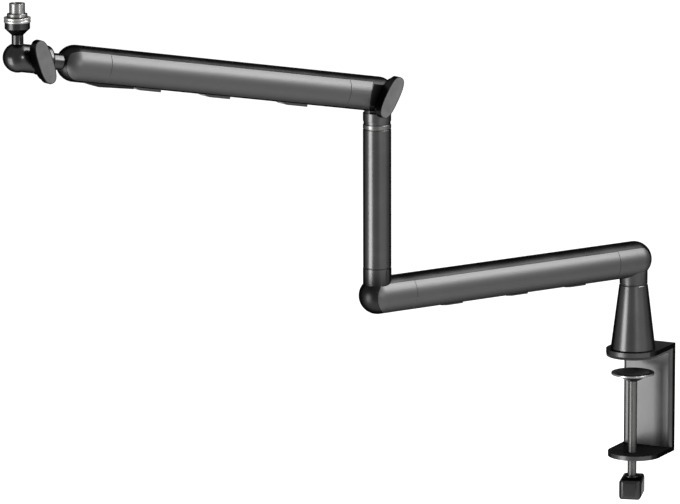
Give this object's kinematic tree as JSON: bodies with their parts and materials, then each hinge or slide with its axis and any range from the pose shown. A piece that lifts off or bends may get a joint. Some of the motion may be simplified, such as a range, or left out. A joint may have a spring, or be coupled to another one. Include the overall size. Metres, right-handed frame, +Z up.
{
  "type": "microphone boom arm",
  "caption": "Low-profile microphone boom arm with a desk clamp, swivelling lower arm, riser, tilting upper arm and threaded tilt head.",
  "frame": {"origin": "on the base swivel axis, at the underside of the clamp's top pad, where it sits on the desk", "axes": "+Z up along the base swivel, both arms reach towards -X, the knobs face -Y"},
  "size_m": [0.8588, 0.0784, 0.6183],
  "materials": {
    "black_metal": "satin black powder coat",
    "black_aluminium": "satin black anodising",
    "gunmetal": "fine satin gunmetal anodising",
    "satin_tube": "satin dark grey enamel",
    "knob_black": "satin moulded black",
    "knob_grey": "bead-blasted grey",
    "clip_plastic": "fine moulded texture",
    "rubber": "matte",
    "friction_lining": "matte",
    "nickel": "bright nickel plate",
    "steel": "bright zinc plate",
    "inner_steel": "plain turned steel",
    "bearing_brass": "turned"
  },
  "bodies": {
    "clamp_body": {"clamp_bracket": "black_metal", "desk_pad": "rubber", "base_cone": "satin_tube", "base_bolt": "inner_steel", "cone_bush": "bearing_brass", "base_washer": "inner_steel"},
    "lower_arm": {"base_spindle": "inner_steel", "base_end": "black_aluminium", "lower_core": "black_aluminium", "riser_end": "black_aluminium", "lower_panels_near": "gunmetal", "lower_panels_far": "gunmetal", "lower_mid_panel_near": "gunmetal", "lower_mid_panel_far": "gunmetal", "lower_clips_set": "clip_plastic", "lower_screws": "inner_steel", "riser_bush": "bearing_brass", "riser_washer": "inner_steel"},
    "riser": {"riser_tube": "satin_tube", "riser_foot_plug": "inner_steel", "riser_top_plug": "satin_tube", "knuckle_bush": "bearing_brass"},
    "elbow_knuckle": {"knuckle": "satin_tube", "friction_washers": "friction_lining"},
    "upper_arm": {"elbow_end": "black_aluminium", "upper_core": "black_aluminium", "head_end": "black_aluminium", "upper_panels_near": "gunmetal", "upper_panels_far": "gunmetal", "upper_mid_panel_near": "gunmetal", "upper_mid_panel_far": "gunmetal", "upper_clips_set": "clip_plastic", "upper_screws": "inner_steel", "cable_hood": "black_aluminium", "elbow_bolt": "inner_steel", "neck_bush": "bearing_brass"},
    "elbow_knob_body": {"elbow_knob": "knob_black", "elbow_knob_face": "knob_grey"},
    "head_body": {"head_neck": "black_metal", "neck_nut": "inner_steel", "head_fork": "black_aluminium", "head_pin": "inner_steel", "head_stud": "inner_steel"},
    "head_knob_body": {"head_knob": "knob_black", "head_knob_face": "knob_grey"},
    "post_body": {"mic_post": "black_aluminium", "thread_adapter": "nickel"},
    "ring_body": {"lock_ring": "nickel"},
    "pad_body": {"pressure_disc": "steel", "disc_rubber": "rubber"},
    "screw_body": {"clamp_screw": "steel", "thumb_key": "knob_black"}
  },
  "joints": [
    {"name": "base_swivel", "type": "hinge", "parent": "clamp_body", "child": "lower_arm", "pos_m": [0, 0, 0.08], "axis": [0, 0, 1], "continuous": true},
    {"name": "riser_swivel", "type": "hinge", "parent": "lower_arm", "child": "riser", "pos_m": [-0.345, 0, 0.138], "axis": [0, 0, 1], "continuous": true},
    {"name": "elbow_swivel", "type": "hinge", "parent": "riser", "child": "elbow_knuckle", "pos_m": [-0.345, 0, 0.2917], "axis": [0, 0, 1], "continuous": true},
    {"name": "elbow_tilt", "type": "hinge", "parent": "elbow_knuckle", "child": "upper_arm", "pos_m": [-0.345, 0, 0.324], "axis": [0, 1, 0], "range_deg": [-10, 79]},
    {"name": "elbow_knob_turn", "type": "hinge", "parent": "upper_arm", "child": "elbow_knob_body", "pos_m": [-0.345, -0.02, 0.324], "axis": [0, -1, 0], "continuous": true},
    {"name": "head_roll", "type": "hinge", "parent": "upper_arm", "child": "head_body", "pos_m": [-0.74852, 0, 0.3966], "axis": [-0.9842, 0, 0.1771], "range_deg": [-180, 180]},
    {"name": "head_tilt", "type": "hinge", "parent": "head_body", "child": "post_body", "pos_m": [-0.78543, 0, 0.40325], "axis": [0, 1, 0], "range_deg": [-60, 25]},
    {"name": "head_knob_turn", "type": "hinge", "parent": "head_body", "child": "head_knob_body", "pos_m": [-0.76968, -0.02, 0.40041], "axis": [0, -1, 0], "continuous": true},
    {"name": "lock_ring_turn", "type": "hinge", "parent": "post_body", "child": "ring_body", "pos_m": [-0.78543, 0, 0.44124], "axis": [0, 0, 1], "continuous": true},
    {"name": "pad_slide", "type": "slide", "parent": "clamp_body", "child": "pad_body", "axis": [0, 0, 1], "range_m": [-0.079, 0.018]},
    {"name": "screw_turn", "type": "hinge", "parent": "pad_body", "child": "screw_body", "pos_m": [0, 0, -0.06], "axis": [0, 0, 1], "range_deg": [-18961, 4321]}
  ],
  "couplings": [
    {"joint": "screw_turn", "follows": "pad_slide", "rad_per_m": 4188.8}
  ]
}
